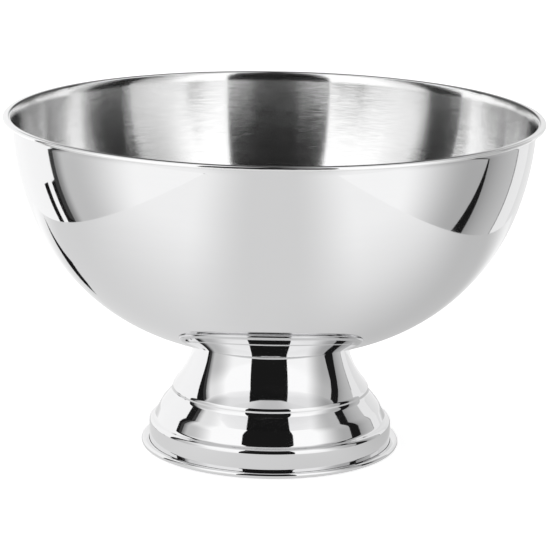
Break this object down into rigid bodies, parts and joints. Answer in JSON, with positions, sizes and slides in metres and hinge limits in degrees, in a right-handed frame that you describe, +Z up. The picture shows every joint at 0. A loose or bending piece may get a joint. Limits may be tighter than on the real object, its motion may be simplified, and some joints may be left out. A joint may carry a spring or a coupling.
{
  "type": "punch bowl",
  "caption": "Footed stainless-steel punch bowl: round open bowl with a rolled rim on a stepped, flared foot, bolted together from inside the foot.",
  "frame": {"origin": "centre of the circle that the base edge rests on, on the resting surface", "axes": "+Z up along the bowl's axis, towards its open mouth; X and Y are free, because the bowl is round"},
  "size_m": [0.3999, 0.4, 0.251],
  "materials": {
    "bowl_steel": "mirror polished outside, satin brushed round the inside",
    "foot_steel": "mirror polished outside, plain mill finish inside",
    "stud_steel": "turned",
    "plate_steel": "mill",
    "washer_steel": "stamped",
    "spring_washer_steel": "plain",
    "nut_steel": "cold formed"
  },
  "bodies": {
    "root": {"bowl_shell": "bowl_steel", "foot_shell": "foot_steel", "weld_stud": "stud_steel", "clamp_plate": "plate_steel", "flat_washer": "washer_steel", "spring_washer": "spring_washer_steel", "hex_nut": "nut_steel"}
  },
  "joints": []
}
